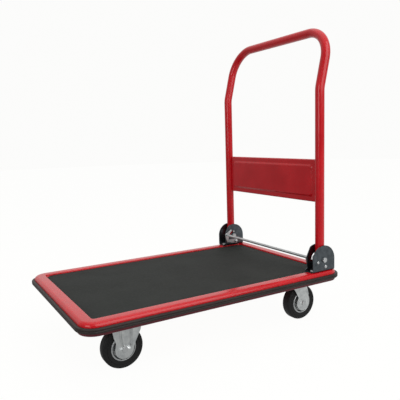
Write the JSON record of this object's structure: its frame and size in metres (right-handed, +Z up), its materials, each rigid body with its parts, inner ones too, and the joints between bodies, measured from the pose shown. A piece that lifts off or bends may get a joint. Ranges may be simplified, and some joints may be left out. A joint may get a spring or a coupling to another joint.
{
  "type": "folding platform trolley",
  "caption": "Flat trolley with a rimmed steel deck, recessed mat, rubber bumper, fixed and swivel casters and a push handle that folds flat over the deck.",
  "frame": {"origin": "on the floor under the middle of the deck, at the centre of the object's footprint", "axes": "+X along the deck towards the handle, +Y across the deck, +Z up"},
  "size_m": [0.755, 0.495, 0.8185],
  "materials": {
    "red_paint": "gloss powder coat",
    "mat_rubber": "matt, fine ribs",
    "bumper_rubber": "satin",
    "tyre": "matt",
    "bracket_zinc": "zinc plated, satin",
    "rim_zinc": "zinc plated",
    "fork_zinc": "zinc plated",
    "hardware_zinc": "bright zinc"
  },
  "bodies": {
    "chassis": {"deck_pan": "red_paint", "deck_mat": "mat_rubber", "bumper_strip": "bumper_rubber", "front_cross_channel": "red_paint", "rear_cross_channel": "red_paint", "spine_channel": "red_paint", "bracket_near": "bracket_zinc", "bracket_far": "bracket_zinc", "bracket_bolts": "hardware_zinc", "bracket_nuts": "hardware_zinc", "bracket_rivets": "hardware_zinc", "pivot_bolts": "hardware_zinc", "pivot_nuts": "hardware_zinc", "lever_pins": "hardware_zinc", "lever_springs": "hardware_zinc", "fixed_fork_near": "fork_zinc", "fixed_fork_far": "fork_zinc", "fixed_axle_bolts": "hardware_zinc", "fixed_axle_nuts": "hardware_zinc", "caster_bolts": "hardware_zinc", "caster_nuts": "hardware_zinc", "swivel_plate_near": "fork_zinc", "swivel_plate_far": "fork_zinc", "kingpins": "hardware_zinc"},
    "release_lever": {"release_rod": "hardware_zinc", "release_lever_near": "hardware_zinc", "release_lever_far": "hardware_zinc"},
    "handle": {"handle_tube": "red_paint", "handle_panel": "red_paint", "pivot_bushes": "hardware_zinc", "stop_pins": "hardware_zinc"},
    "swivel_near": {"swivel_fork_near": "fork_zinc", "swivel_bolt_near": "hardware_zinc", "swivel_nut_near": "hardware_zinc", "swivel_balls_near": "hardware_zinc"},
    "wheel_fixed_near": {"tyre_fixed_near": "tyre", "rim_fixed_near": "rim_zinc", "hub_fixed_near": "hardware_zinc"},
    "wheel_swivel_near": {"tyre_swivel_near": "tyre", "rim_swivel_near": "rim_zinc", "hub_swivel_near": "hardware_zinc"},
    "swivel_far": {"swivel_fork_far": "fork_zinc", "swivel_bolt_far": "hardware_zinc", "swivel_nut_far": "hardware_zinc", "swivel_balls_far": "hardware_zinc"},
    "wheel_fixed_far": {"tyre_fixed_far": "tyre", "rim_fixed_far": "rim_zinc", "hub_fixed_far": "hardware_zinc"},
    "wheel_swivel_far": {"tyre_swivel_far": "tyre", "rim_swivel_far": "rim_zinc", "hub_swivel_far": "hardware_zinc"}
  },
  "joints": [
    {"name": "handle_fold", "type": "hinge", "parent": "chassis", "child": "handle", "pos_m": [0.311, 0, 0.183], "axis": [0, -1, 0], "range_deg": [0, 90]},
    {"name": "release_press", "type": "hinge", "parent": "chassis", "child": "release_lever", "pos_m": [0.318, 0, 0.163], "axis": [0, -1, 0], "range_deg": [0, 18], "stiffness_Nm_per_rad": 3, "springref_deg": -8.59},
    {"name": "swivel_near_turn", "type": "hinge", "parent": "chassis", "child": "swivel_near", "pos_m": [0.258, -0.158, 0.118], "axis": [0, 0, 1], "continuous": true},
    {"name": "wheel_swivel_near_spin", "type": "hinge", "parent": "swivel_near", "child": "wheel_swivel_near", "pos_m": [0.286, -0.158, 0.05], "axis": [0, 1, 0], "continuous": true},
    {"name": "wheel_fixed_near_spin", "type": "hinge", "parent": "chassis", "child": "wheel_fixed_near", "pos_m": [-0.258, -0.158, 0.05], "axis": [0, 1, 0], "continuous": true},
    {"name": "swivel_far_turn", "type": "hinge", "parent": "chassis", "child": "swivel_far", "pos_m": [0.258, 0.158, 0.118], "axis": [0, 0, 1], "continuous": true},
    {"name": "wheel_swivel_far_spin", "type": "hinge", "parent": "swivel_far", "child": "wheel_swivel_far", "pos_m": [0.286, 0.158, 0.05], "axis": [0, 1, 0], "continuous": true},
    {"name": "wheel_fixed_far_spin", "type": "hinge", "parent": "chassis", "child": "wheel_fixed_far", "pos_m": [-0.258, 0.158, 0.05], "axis": [0, 1, 0], "continuous": true}
  ]
}
